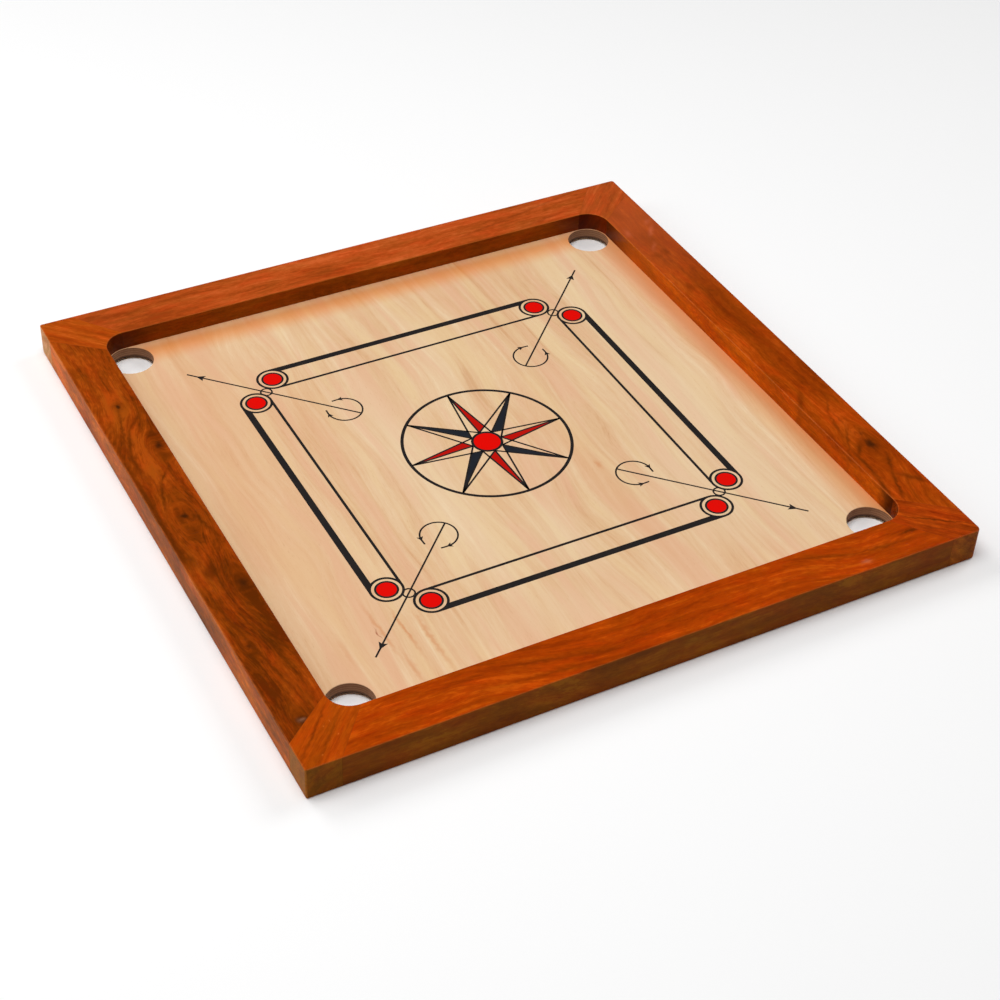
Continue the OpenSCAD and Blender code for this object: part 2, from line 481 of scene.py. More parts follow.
def hardwood(
    name, turn, seed, tones,
    bend=30.0, lines=0.3, patches=0.4, lift=0.0, falls=(), knots=(),
    contrast=0.42, marks=(), pale_marks=(), washes=(), bloom=(),
    stain=CORNER_SHADE_FACTORS, corner_shade_reach=(26.0, 26.0), pale_tone=(214, 150, 116),
    front_stain=FRONT_SHADING, left_stain=LEFT_SHADING,
):
    """Varnished reddish hardwood with its grain at an angle of turn.

    tones are its darkest, dark, middle and light colours. bend is how far the grain wanders, and
    each of falls leads it aside by a shift between two places along it. lines, patches, contrast
    and lift weigh the ring lines, the blotches, the streaks and the change of tone along the grain.
    marks, pale_marks, washes and bloom are rows for streak_bells. The remaining colour factors are
    painted shade at the inner corners and painted light and shade on faces by their direction.
    """
    g = Graph(name)
    place = g.millimetres()
    straight = g.split(g.millimetres(turn))
    along, _, depth = straight
    for knot in knots:
        knot.turn(turn)
    flow = grain_flow(g, straight, seed, bend, falls, knots)
    grained = (along, flow, depth)

    streaks = g.layer(grained, seed, STREAKS)
    fibres = g.layer(grained, seed, FIBRES)
    mottle = g.layer(grained, seed, MOTTLE)
    warmth = g.layer(grained, seed, WARMTH)
    wobble = g.layer(grained, seed, WOBBLE)
    blotches = g.layer(straight, seed, BLOTCHES)
    pores = g.layer(grained, seed, PORES)

    tone = g.total(
        0.5,
        g.sway(streaks, contrast),
        g.sway(fibres, FIBRE_WEIGHT),
        g.sway(mottle, MOTTLE_WEIGHT),
        g.sway(blotches, patches),
        g.times(along, lift),
        wash(g, place, seed + WASH_SEED, washes),
    )
    colours = [linear(*colour) for colour in tones]
    darkest = colours[0]
    colour = g.ramp(tone, list(zip(TONE_PLACES, colours)))

    redder = g.step(warmth, *REDDER_WOOD, 0.0, TINT_COVER)
    colour = g.mix(redder, colour, RED_TINT, "MULTIPLY")
    greener = g.step(warmth, *GREENER_WOOD, 0.0, TINT_COVER)
    colour = g.mix(greener, colour, OLIVE_TINT, "MULTIPLY")

    turns = g.total(g.times(flow, 2 * math.pi / RING_SPACING), g.times(wobble, RING_WOBBLE))
    rings = g.math("SINE", turns)
    ring_lines = g.times(g.step(rings, *RING_CREST), g.step(blotches, *RINGED_WOOD), lines)
    colour = g.mix(ring_lines, colour, darkest)
    pore_marks = g.step(pores, *PORE_HOLES)
    colour = g.mix(g.times(pore_marks, PORE_COVER), colour, darkest)

    if bloom:
        colour = g.mix(marks_mask(g, place, seed + BLOOM_SEED, bloom), colour, BLOOM_TONE)
    if marks:
        streaked = g.times(marks_mask(g, place, seed, marks), g.step(fibres, 0.25, 0.6, 0.6, 1.0))
        colour = g.mix(streaked, colour, MARK_TONE)
    if knots:
        cores, smoke = knot_parts(g, place, seed + KNOT_SEED, knots)
        colour = g.mix(g.times(smoke, SMOKE_COVER), colour, MARK_TONE)
        colour = g.mix(g.step(cores, 0.1, 0.95, 0.0, KNOT_COVER), colour, KNOT_TONE)
    if pale_marks:
        pale = marks_mask(g, place, seed + PALE_SEED, pale_marks)
        colour = g.mix(pale, colour, linear(*pale_tone))

    seam = g.step(joint_distance(g, place), 0.1, 0.5, 1.0, 0.0)
    colour = g.mix(g.times(seam, SEAM_COVER), colour, SEAM_TONE)
    # Painted shade that darkens the inner walls at the rounded corners
    corner_shade_mask = painted_corner_shade(g, place, corner_shade_reach)
    # Painted shade and painted light on faces by the direction they face
    face_shaded = painted_face_shading(g, place, colour, front_stain, left_stain)
    colour = g.mix(corner_shade_mask, face_shaded, stain, "MULTIPLY")
    # Wear on the round-overs together with a painted highlight along the edges
    wear_and_highlight = g.times(rounded_edge(g), g.less(1.0, corner_shade_mask), g.step(fibres, 0.3, 0.6, 0.3, 1.0))
    colour = g.mix(g.times(wear_and_highlight, WEAR_AND_HIGHLIGHT_COVER), colour, WEAR_AND_HIGHLIGHT_TONE)

    roughness = g.total(
        g.step(outer_side(g, place), 0.0, 1.0, TOP_ROUGHNESS, SIDE_ROUGHNESS),
        g.times(fibres, 0.08),
        g.times(pore_marks, 0.2),
        g.times(seam, 0.2),
    )
    relief = g.total(g.times(fibres, 0.5), g.times(streaks, 0.3), g.times(pore_marks, -0.8))
    bump = g.bump(relief, VARNISH_RELIEF, strength=0.5)
    return g.surface(colour, roughness, bump, specular_ior_level=VARNISH_SPECULAR)


def left_rail_wood():
    return hardwood(
        "left_rail_wood", ALONG_BOARD, 83.0,
        [(98, 40, 3), (122, 50, 4), (144, 59, 6), (170, 74, 12)],
        bend=26, lines=0.25, patches=0.6, lift=0.00012,
        falls=[(60, 200, 22), (-280, -100, -24)],
        knots=[
            Knot(-328, 183, 2.8, reach=20, strength=0.9),
            Knot(-313, 106, 5.0, reach=30, strength=0.85),
            Knot(-329, -6, 3.2, reach=34, strength=0.9),
            Knot(-314, -118, 6.0, reach=34, strength=0.75, stretch=1.6),
            Knot(-341, -197, 3.6, reach=20, strength=0.55),
            Knot(-335, -300.6, 5.4, reach=18, strength=0.75, stretch=1.1),
        ],
        marks=[
            (-315, 162, -332, 140, 2.4, 0.7),
            (-331, 146, -345, 98, 2.6, 0.8),
            (-330, 178, -343, 118, 1.8, 0.7),
            (-344, 118, -344, 58, 3.6, 0.75),
            (-320, 66, -332, 49, 2.0, 0.8),
            (-331, 53, -342, 10, 2.2, 0.85),
            (-321, -2, -312, -40, 2.4, 0.8),
            (-333, -80, -340, -102, 7.0, 0.75),
            (-347, -58, -344, -80, 5.0, 0.6),
            (-328, -162, -311, -214, 2.0, 0.7),
            (-341, -178, -326, -266, 1.8, 0.7),
            (-346, -148, -338, -204, 1.8, 0.6),
            (-314, -186, -320, -228, 4.0, 0.5),
            (-352, 92, -352, -84, 4.0, 0.8),
        ],
        pale_marks=[(-337.5, -299, -332.5, -302, 2.4, 0.22)],
        washes=[(-330, 20, -330, 290, 26.0, 0.06)],
    )


def right_rail_wood():
    return hardwood(
        "right_rail_wood", ALONG_BOARD, 29.0,
        [(134, 49, 2), (152, 58, 3), (168, 66, 5), (192, 80, 14)],
        bend=44, lines=0.3, patches=0.45,
        knots=[
            Knot(336, -199, 5.4, reach=36, strength=0.85, stretch=1.7),
            Knot(337.5, -181, 3.4, reach=14, strength=0.5),
        ],
        marks=[
            (328, -193, 313, -210, 2.8, 0.8),
            (313, -205, 311, -252, 2.8, 0.85),
            (311, -246, 304, -280, 2.8, 0.85),
            (341, -220, 330, -246, 2.2, 0.75),
            (331, -241, 314, -284, 2.6, 0.8),
            (331, -248, 354, -274, 3.4, 0.65),
            (321, -94, 303, -123, 3.2, 0.6),
            (331, -164, 305, -207, 1.8, 0.55),
            (332, -136, 330, -170, 1.4, 0.45),
            (337, 118, 338, -68, 15.0, 0.5),
            (319, 128, 319, 114, 5.0, 0.5),
            (331, 201, 331, 187, 5.0, 0.45),
            (334, 240, 328, 204, 12.0, 0.3),
            (318, 196, 318, 186, 6.0, 0.4),
            (316, 300, 322, 276, 6.0, 0.25),
            (339, -119, 325, -140, 1.8, 0.5),
            (326, -138, 317, -180, 1.8, 0.55),
        ],
        pale_marks=[
            (344, 246, 334, 232, 2.6, 0.4),
            (350, 262, 342, 255, 3.4, 0.3),
            (313, 252, 311, 240, 3.6, 0.35),
            (330, 216, 322, 204, 2.6, 0.25),
        ],
        pale_tone=(204, 104, 70),
        # Painted shade at this rail's inner corners, reaching further along its back half
        stain=(0.2, 0.16, 0.3, 1.0),
        corner_shade_reach=(26.0, 76.0),
        washes=[(315, 130, 315, -90, 9.0, 0.07), (330, -120, 326, -190, 16.0, 0.05)],
        bloom=[(330, 180, 330, 380, 60.0, 0.6)],
    )


def front_rail_wood():
    return hardwood(
        "front_rail_wood", ACROSS_BOARD, 11.0,
        [(144, 50, 2), (159, 57, 2), (171, 63, 3), (194, 80, 8)],
        bend=22, lines=0.2, patches=0.45, contrast=0.52,
        falls=[(-200, -40, 28), (140, 240, 24)],
        marks=[
            (-180, -312, -54, -342, 2.8, 0.5),
            (-150, -340, -66, -350, 2.4, 0.45),
            (152, -308, 224, -332, 2.2, 0.5),
            (214, -331, 294, -336, 2.2, 0.5),
            (280, -326, 301, -326.5, 2.2, 0.85),
        ],
        pale_marks=[(222.5, -345, 230.5, -345, 2.6, 0.2)],
        washes=[
            (170, -346, 290, -346, 9.0, 0.07),
            (-270, -334, -170, -332, 12.0, 0.05),
            (30, -330, 140, -330, 18.0, -0.06),
        ],
    )


def back_rail_wood():
    return hardwood(
        "back_rail_wood", ACROSS_BOARD, 47.0,
        [(150, 62, 16), (168, 71, 21), (183, 79, 28), (202, 94, 42)],
        bend=30, lines=0.15, patches=0.35,
        washes=[
            (-250, 316, -90, 316, 14.0, -0.1),
            (-300, 332, -200, 332, 22.0, -0.06),
            (40, 346, 200, 344, 10.0, 0.04),
        ],
        # Painted shade at this rail's inner corners
        stain=(0.52, 0.39, 0.74, 1.0),
        corner_shade_reach=(50.0, 50.0),
        marks=[
            (134, 320, 206, 333, 1.8, 0.35),
            (198, 332, 302, 353, 1.8, 0.35),
            (216, 310, 268, 319, 2.4, 0.4),
            (-310, 343, -268, 337, 4.5, 0.35),
            (-272, 327, -226, 322, 2.0, 0.3),
        ],
    )


def corner_wood(node, turn, seed, tones, contrast=0.6, **more):
    """The straighter wood of the corner blocks, whose grain runs along the board's diagonals."""
    return hardwood(
        node + "_wood", turn, seed, tones,
        bend=5, lines=0.3, patches=0.35, contrast=contrast, **more,
    )


def make_frame_materials():
    """One material for each rail and corner block, and what each is put on."""
    # Each corner block's own factors below are painted shade in its corner and painted light and shade
    # on its sides towards the front and the left
    return {
        "rail_front": front_rail_wood(),
        "rail_right": right_rail_wood(),
        "rail_back": back_rail_wood(),
        "rail_left": left_rail_wood(),
        "corner_block_front_left": corner_wood(
            "corner_block_front_left", RISING, 61.0,
            [(146, 56, 3), (160, 64, 5), (174, 71, 6), (188, 81, 11)],
            contrast=0.42,
            marks=[
                (-309, -292, -352, -342, 1.4, 0.6),
                (-300, -304, -340, -350, 1.2, 0.4),
            ],
            # These four specks are painted glints
            pale_marks=[
                (-314.4, -312, -313.6, -312, 0.9, 0.5),
                (-321.8, -316, -321, -316.4, 0.8, 0.4),
                (-314, -329, -312.8, -329, 0.8, 0.4),
                (-335.6, -346, -334.4, -346, 0.8, 0.4),
            ],
            pale_tone=(228, 122, 48),
            left_stain=(0.82, 1.68, 1.8, 1.0),
        ),
        "corner_block_front_right": corner_wood(
            "corner_block_front_right", FALLING, 67.0,
            [(128, 42, 2), (150, 53, 4), (168, 62, 7), (196, 78, 10)],
            marks=[(292, -302, 353, -344, 0.9, 0.85), (302, -322, 330, -346, 1.6, 0.5)],
            stain=(0.45, 0.4, 0.4, 1.0),
            front_stain=(0.8, 1.6, 1.3, 1.0),
        ),
        "corner_block_back_right": corner_wood(
            "corner_block_back_right", RISING, 71.0,
            [(156, 66, 22), (168, 73, 26), (179, 77, 28), (194, 89, 38)],
            stain=(0.3, 0.15, 0.14, 1.0),
        ),
        "corner_block_back_left": corner_wood(
            "corner_block_back_left", FALLING, 73.0,
            [(150, 60, 7), (164, 67, 9), (176, 75, 13), (196, 88, 24)],
            marks=[(-308, 280, -306, 272, 0.8, 0.8)],
            washes=[(-356, 356, -326, 326, 18.0, 0.08)],
            stain=(0.4, 0.3, 0.23, 1.0),
            left_stain=(1.3, 3.4, 16.0, 1.0),
        ),
    }


# ---------------------------------------------------------------- playing panel

# Noise layers, with rows like the hardwood's
VENEER_BEND = ((330, 90, 90), 0.0, 2, 0.5)
VENEER_FIGURE = ((190, 4.6, 9), 1.1, 3, 0.5)
VENEER_FIBRES = ((12, 0.8, 1.5), 2.3, 3, 0.6)
VENEER_CLOUDS = ((150, 20, 40), 6.2, 3, 0.5)
VENEER_WARMTH = ((220, 24, 60), 3.9, 3, 0.5)
VENEER_PORES = ((7, 0.5, 1), 4.4, 1, 0.5)
VENEER_SEED = 17.0

# How the layers shape the veneer's grain and tone, and between which values each thing comes in
VENEER_WANDER = 60
FIGURE_WEIGHT = 0.46
VENEER_FIBRE_WEIGHT = 0.26
CLOUD_WEIGHT = 0.5
PINKER_VENEER = (0.48, 0.66)
STRAW_VENEER = (0.48, 0.34)
VENEER_PORE_HOLES = (0.66, 0.78)
VENEER_PORE_COVER = 0.25

# Places on the tone's scale and their colours
VENEER_TONES = [
    (0.32, linear(212, 166, 122)),
    (0.44, linear(222, 182, 140)),
    (0.56, linear(227, 192, 152)),
    (0.7, linear(234, 206, 168)),
]
PINK_TONE = linear(226, 176, 142)
STRAW_TONE = linear(230, 200, 152)
PORE_TONE = linear(186, 128, 82)
UNDERSIDE_TONE = linear(176, 132, 92)

# Painted shade and warm bounced light beside the walls: from how far to how near it grows, then its
# start and its end
WALL_SHADE_AND_BOUNCE = linear(222, 124, 26)
BACK_SHADE = (45, 15, 0.0, 0.62)
BACK_SHADE_EASING = (14, 2, 0.0, 0.3)
RIGHT_SHADE = (38, 0, 0.0, 0.6)

# Marks listed after the photo, as rows for streak_bells
BLUSH_TONE = linear(220, 168, 126)
PALE_TONE = linear(234, 208, 172)
STREAK_TONE = linear(206, 134, 84)
FLECK_TONE = linear(150, 62, 26)
VENEER_BLUSH = [
    (-225, 300, -225, 60, 60, 0.5),
    (-222, 60, -222, -130, 26, 0.5),
    (-160, 200, -150, 60, 30, 0.35),
    (72, 120, 76, -260, 16, 0.5),
    (150, 300, 150, 240, 60, 0.2),
    (-220, -262, 220, -262, 36, 0.22),
    (-256, 300, -256, -300, 64, 0.5),
]
VENEER_PALE = [
    (-84, 110, -78, -180, 30, 0.5),
    (-4, -110, -2, -230, 24, 0.35),
    (150, -60, 150, -240, 24, 0.5),
    (222, 180, 222, -290, 34, 0.5),
    (-120, -250, 40, -285, 40, 0.3),
    (8, 190, 6, 60, 22, 0.3),
]
VENEER_STREAKS = [
    (-198, -196, -197, -244, 1.6, 0.7),
    (-181, -206, -180, -272, 2.4, 0.6),
    (-219, -184, -217, -238, 2.0, 0.6),
    (-212, -250, -211, -286, 2.2, 0.5),
    (-258, -206, -258, -246, 3.0, 0.3),
    (83, -82, 83, -92, 2.6, 0.6),
]
VENEER_FLECKS = [(-222.4, -208, -222, -218, 0.6, 0.8)]

# The plywood's edge on the pocket walls; painted shade at its foot fades between two heights above the
# underside
PLY_LAYERS = 9
PLY_DARK = linear(146, 100, 68)
PLY_LIGHT = linear(166, 118, 84)
GRIT_TONE = linear(104, 70, 48)
POCKET_SHADE_TONE = linear(44, 26, 16)
POCKET_SHADE_HEIGHTS = (0.6, 4.0)


def veneer_colour(g, place, straight):
    """Pale veneer with soft pink and straw streaks; straight starts with the grain's direction."""
    along, across, depth = straight
    flow = g.total(across, g.sway(g.layer(straight, VENEER_SEED, VENEER_BEND), VENEER_WANDER))
    grained = (along, flow, depth)
    figure = g.layer(grained, VENEER_SEED, VENEER_FIGURE)
    fibres = g.layer(grained, VENEER_SEED, VENEER_FIBRES)
    clouds = g.layer(grained, VENEER_SEED, VENEER_CLOUDS)
    warmth = g.layer(grained, VENEER_SEED, VENEER_WARMTH)
    pores = g.step(g.layer(grained, VENEER_SEED, VENEER_PORES), *VENEER_PORE_HOLES)
    tone = g.total(
        0.5,
        g.sway(figure, FIGURE_WEIGHT),
        g.sway(fibres, VENEER_FIBRE_WEIGHT),
        g.sway(clouds, CLOUD_WEIGHT),
    )
    colour = g.ramp(tone, VENEER_TONES)
    colour = g.mix(g.step(warmth, *PINKER_VENEER, 0.0, 0.6), colour, PINK_TONE)
    colour = g.mix(g.step(warmth, *STRAW_VENEER, 0.0, 0.5), colour, STRAW_TONE)
    colour = g.mix(marks_mask(g, place, VENEER_SEED, VENEER_BLUSH), colour, BLUSH_TONE)
    colour = g.mix(marks_mask(g, place, VENEER_SEED, VENEER_PALE), colour, PALE_TONE)
    colour = g.mix(g.times(pores, VENEER_PORE_COVER), colour, PORE_TONE)
    colour = g.mix(marks_mask(g, place, VENEER_SEED, VENEER_STREAKS), colour, STREAK_TONE)
    colour = g.mix(marks_mask(g, place, VENEER_SEED, VENEER_FLECKS), colour, FLECK_TONE)
    return colour, fibres, pores


def ply_layers(g, place):
    """Crossed layers of the plywood's edge on the pocket walls, with painted shade along their foot.
    """
    x, y, z = g.split(place)
    layer = (SURFACE - PANEL_BOTTOM) / PLY_LAYERS
    level = g.times(g.less(z, PANEL_BOTTOM), 1 / layer)
    even = g.step(g.math("PINGPONG", level, 1.0), 0.4, 0.6)
    grit = g.noise((x, y, z), (1.6, 1.6, 0.35), 5.0, detail=3, roughness=0.7)
    colour = g.mix(even, PLY_DARK, PLY_LIGHT)
    colour = g.mix(g.step(grit, 0.35, 0.7, 0.0, 0.5), colour, GRIT_TONE)
    low, high = [PANEL_BOTTOM + height for height in POCKET_SHADE_HEIGHTS]
    # Painted shade at the foot of the pocket walls
    return g.mix(g.step(z, low, high, 0.85, 0.0), colour, POCKET_SHADE_TONE)


def painted_wall_shade(g, place, face):
    """The veneer's colour with painted shade and warm bounced light along the back and the right wall.
    """
    x, y, _ = g.split(place)
    from_back, from_right = g.less(HALF_OPENING, y), g.less(HALF_OPENING, x)
    behind = g.less(g.step(from_back, *BACK_SHADE), g.step(from_back, *BACK_SHADE_EASING))
    beside = g.step(from_right, *RIGHT_SHADE)
    return g.mix(g.math("MAXIMUM", behind, beside), face, WALL_SHADE_AND_BOUNCE)


def make_panel_material():
    """Veneer on top, plywood layers on the pocket walls and a plainer face underneath."""
    g = Graph("panel_veneer")
    place = g.millimetres()
    face, fibres, pores = veneer_colour(g, place, g.split(g.millimetres(ALONG_BOARD)))
    lean = g.facing()[2]
    upright = g.step(g.size(lean), 0.8, 0.3)
    under = g.step(lean, -0.3, -0.8)
    # Painted shade and warm bounced light along the back and right walls
    colour = g.mix(under, painted_wall_shade(g, place, face), g.mix(0.5, face, UNDERSIDE_TONE))
    colour = g.mix(upright, colour, ply_layers(g, place))
    roughness = g.total(0.3, g.times(fibres, 0.12), g.times(upright, 0.35), g.times(under, 0.3))
    relief = g.total(g.times(fibres, 0.5), g.times(pores, -0.5))
    return g.surface(colour, roughness, g.bump(relief, 0.05, strength=0.5), specular_ior_level=0.2)


# ---------------------------------------------------------------- inks and small parts

# The colour of each ink's full coat and of its thin places
INKS = {
    "ink_dark": ((35, 32, 32), (52, 45, 40)),
    "ink_blue_black": ((32, 35, 42), (42, 46, 54)),
    "ink_red": ((224, 8, 2), (206, 16, 6)),
    "ink_deep_red": ((186, 18, 8), (160, 22, 14)),
}


def make_ink(name):
    """Screen-printed ink that follows the veneer's fibres a little."""
    full, thin = [linear(*colour) for colour in INKS[name]]
    g = Graph(name)
    straight = g.split(g.millimetres(ALONG_BOARD))
    fibres = g.noise(straight, (18, 0.8, 1), 23.0, detail=3, roughness=0.6)
    clouds = g.noise(straight, (14, 9, 9), 31.0, detail=2)
    tone = g.mix(g.step(fibres, 0.55, 0.85, 0.0, 0.35), full, thin)
    tone = g.mix(g.step(clouds, 0.4, 0.7, 0.0, 0.25), tone, thin)
    roughness = g.total(0.34, g.times(fibres, 0.14))
    return g.surface(tone, roughness, g.bump(fibres, 0.03, strength=0.5), specular_ior_level=0.05)


def make_dowel_material():
    g = Graph("beech_dowel")
    place = g.split(g.millimetres())
    flecks = g.noise(place, (1.2, 1.2, 1.2), 3.0, detail=4, roughness=0.65)
    rings = g.noise(place, (9, 9, 2.2), 8.0, detail=3)
    colour = g.mix(rings, linear(214, 178, 132), linear(190, 148, 104))
    colour = g.mix(g.step(flecks, 0.55, 0.7, 0.0, 0.6), colour, linear(150, 104, 66))
    return g.surface(colour, g.total(0.6, g.times(flecks, 0.15)), g.bump(flecks, 0.08))


def make_screw_material():
    g = Graph("zinc_screw")
    place = g.split(g.millimetres())
    brushed = g.noise(place, (0.5, 0.5, 0.08), 12.0, detail=4, roughness=0.7)
    dulled = g.noise(place, (3, 3, 3), 19.0, detail=3)
    colour = g.mix(g.step(dulled, 0.4, 0.65), linear(196, 198, 200), linear(150, 148, 138))
    roughness = g.total(0.28, g.times(brushed, 0.2), g.times(dulled, 0.15))
    return g.surface(colour, roughness, g.bump(brushed, 0.02, strength=0.5), metallic=1.0)


# ---------------------------------------------------------------- printed markings


class Print:
    """One printed piece: thin closed plates of ink that stand a hair above the playing surface."""

    def __init__(self, name, material, slot, layer):
        self.name = name
        self.material = material
        self.slot = slot
        self.low = SURFACE - INK_BITE
        self.high = SURFACE + INK_THICKNESS + layer * INK_LAYER
        self.mesh = bmesh.new()

    def points(self, outline):
        """The lower and upper vertices of an outline given in the print's own coordinates."""
        rows = []
        for height in (self.low, self.high):
            row = [
                self.mesh.verts.new(
                    Vector((x + PRINT_CENTRE[0], y + PRINT_CENTRE[1], height)) * MM
                )
                for x, y in outline
            ]
            rows.append(row)
        return rows

    def plate(self, outline):
        """A filled outline whose points run counter-clockwise."""
        low, high = self.points(outline)
        self.mesh.faces.new(high)
        self.mesh.faces.new(list(reversed(low)))
        self.wall(low, high, closed=True)

    def wall(self, low, high, closed):
        count = len(low)
        for i in range(count if closed else count - 1):
            j = (i + 1) % count
            self.mesh.faces.new((low[i], low[j], high[j], high[i]))

    def band(self, outer, inner, closed):
        """A strip between two outlines with as many points as each other."""
        low_out, high_out = self.points(outer)
        low_in, high_in = self.points(inner)
        count = len(outer)
        for i in range(count if closed else count - 1):
            j = (i + 1) % count
            self.mesh.faces.new((high_out[i], high_out[j], high_in[j], high_in[i]))
            self.mesh.faces.new((low_out[j], low_out[i], low_in[i], low_in[j]))
        self.wall(low_out, high_out, closed)
        self.wall(list(reversed(low_in)), list(reversed(high_in)), closed)
        if not closed:
            self.mesh.faces.new((low_in[0], low_out[0], high_out[0], high_in[0]))
            self.mesh.faces.new((low_out[-1], low_in[-1], high_in[-1], high_out[-1]))

    def ring(self, centre, radius, line):
        """A circle's line, line wide inwards from radius."""
        count = circle_count(radius, 360)
        outer = circle(centre, radius, count=count)
        self.band(outer, circle(centre, radius - line, count=count), closed=True)

    def arc(self, centre, radius, line, start, end):
        """An arc's line with radius in its middle, between two angles in degrees."""
        count = circle_count(radius, end - start)
        outer = circle(centre, radius + line / 2, start, end, count)
        self.band(outer, circle(centre, radius - line / 2, start, end, count), closed=False)

    def disc(self, centre, radius):
        self.plate(circle(centre, radius, count=circle_count(radius, 360)))

    def bar(self, start, end, width):
        """A straight line with square ends."""
        side = (Vector(end) - Vector(start)).normalized().orthogonal() * width / 2
        a, b = Vector(start), Vector(end)
        self.plate([a - side, b - side, b + side, a + side])

    def dart(self, tip, towards, length, width, notch):
        """A filled arrow head with a notched back."""
        ahead = Vector(towards).normalized()
        side = ahead.orthogonal() * width / 2
        back = Vector(tip) - ahead * length
        self.plate([Vector(tip), back + side, back + ahead * notch, back - side])

    def done(self):
        """Turns the outlines into one object that rides on the board."""
        bmesh.ops.recalc_face_normals(self.mesh, faces=self.mesh.faces)
        data = bpy.data.meshes.new(self.name)
        self.mesh.to_mesh(data)
        self.mesh.free()
        piece = bpy.data.objects.new(self.name, data)
        bpy.context.scene.collection.objects.link(piece)
        data.materials.append(self.material)
        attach(piece, "root")


def circle_count(radius, degrees):
    """How many straight pieces draw that much of a circle, each about a millimetre long."""
    return max(ARC_LEAST_PIECES, round(math.radians(degrees) * radius / ARC_PIECE))


def circle(centre, radius, start=0.0, end=360.0, count=ARC_LEAST_PIECES):
    """Points of a circle, or of an arc between two angles in degrees with both its ends."""
    whole = end - start >= 360
    points = []
    for i in range(count if whole else count + 1):
        angle = math.radians(start + (end - start) * i / count)
        points.append((centre[0] + radius * math.cos(angle), centre[1] + radius * math.sin(angle)))
    return points


def at_quarter(quarter, x, y):
    """A point turned by quarter turns about the middle of the print."""
    for _ in range(quarter):
        x, y = -y, x
    return (x, y)


def polar(radius, angle):
    """A point at a radius and an angle in degrees from the middle of the print."""
    return Vector((radius * math.cos(math.radians(angle)), radius * math.sin(math.radians(angle))))


def crossing(a, b, c, d):
    """Where the line from a to b meets the line from c to d."""
    first, second = b - a, d - c
    share = (c - a).cross(second) / first.cross(second)
    return a + first * share


def base_place(quarter, x, y):
    """A point of the base lines, which were printed a little longer than wide."""
    x, y = at_quarter(quarter, x, y)
    return (x * BASE_STRETCH[0], y * BASE_STRETCH[1])


def base_circle_centres():
    """The two base circles at each corner of the print."""
    for quarter in range(4):
        yield base_place(quarter, -BASE_NEAR, -BASE_FAR)
        yield base_place(quarter, BASE_NEAR, -BASE_FAR)


def base_line_outline(start, end):
    """A line of the front side between two angles on the rims of its circles, which it runs up to."""
    right = []
    for i in range(LINE_END_STEPS + 1):
        a = math.radians(start + (end - start) * i / LINE_END_STEPS)
        right.append((BASE_NEAR - BASE_RADIUS * math.cos(a), BASE_RADIUS * math.sin(a) - BASE_FAR))
    return right + [(-x, y) for x, y in reversed(right)]


def print_base_lines(dark):
    """The thick outer and thin inner line on each side, from circle to circle."""
    piece = Print("base_lines", dark, "ink_dark", 0)
    thick_end = -math.degrees(math.asin(1 - THICK_LINE / BASE_RADIUS))
    thin_start = math.degrees(math.asin(1 - THIN_LINE / BASE_RADIUS))
    for outline in (base_line_outline(-90, thick_end), base_line_outline(thin_start, 90)):
        for quarter in range(4):
            piece.plate([base_place(quarter, x, y) for x, y in outline])
    piece.done()


def print_base_circles(dark, red):
    """Rims, inner outlines and red fills of the eight base circles."""
    rims = Print("base_circle_rims", dark, "ink_dark", 2)
    fills = Print("base_circle_fills", red, "ink_red", 1)
    for centre in base_circle_centres():
        rims.ring(centre, BASE_RADIUS, BASE_LINE)
        rims.ring(centre, BASE_FILL_RADIUS, BASE_FILL_LINE)
        fills.disc(centre, BASE_FILL_RADIUS - BASE_FILL_LINE / 2)
    rims.done()
    fills.done()


def print_corner_circles(dark):
    piece = Print("corner_circles", dark, "ink_dark", 1)
    for quarter in range(4):
        centre = at_quarter(quarter, -CORNER_CIRCLE_CENTRE, -CORNER_CIRCLE_CENTRE)
        piece.ring(centre, CORNER_CIRCLE_RADIUS, FINE_LINE)
    piece.done()


def print_diagonal_arrows(dark):
    """The line from each turning arc out towards a pocket, with its dart."""
    piece = Print("diagonal_arrows", dark, "ink_dark", 3)
    heads = Print("diagonal_arrow_heads", dark, "ink_dark", 4)
    for quarter in range(4):
        start = at_quarter(quarter, -ARROW_INNER_END, -ARROW_INNER_END)
        end = at_quarter(quarter, -ARROW_OUTER_END, -ARROW_OUTER_END)
        piece.bar(start, end, FINE_LINE)
        tip = at_quarter(quarter, -ARROW_DART_TIP, -ARROW_DART_TIP)
        heads.dart(tip, at_quarter(quarter, -1, -1), **ARROW_DART)
    piece.done()
    heads.done()


def print_turning_arcs(dark):
    """The arc round the inner end of each diagonal, with a dart and a short tail at both ends."""
    arcs = Print("turning_arcs", dark, "ink_dark", 1)
    heads = Print("turning_arc_heads", dark, "ink_dark", 2)
    for quarter in range(4):
        centre = Vector(at_quarter(quarter, -TURN_CENTRE, -TURN_CENTRE))
        outward = 225 + 90 * quarter
        start = outward + TURN_HALF_GAP - TURN_OVERLAP
        end = outward + 360 - TURN_HALF_GAP + TURN_OVERLAP
        arcs.arc(centre, TURN_RADIUS, FINE_LINE, start, end)
        for side in (-1, 1):
            tip = centre + polar(TURN_RADIUS, outward + side * TURN_TIP_ANGLE)
            barb = centre + polar(TURN_RADIUS, outward + side * (TURN_HALF_GAP + TURN_BARB_LEAD))
            heads.dart(tip, tip - barb, **TURN_DART)
            tail = centre + polar(TURN_RADIUS + TURN_TAIL_RISE, outward + side * TURN_TAIL_ANGLE)
            arcs.bar(barb, tip, FINE_LINE)
            heads.bar(tip - (tip - barb).normalized(), tail, FINE_LINE)
    arcs.done()
    heads.done()


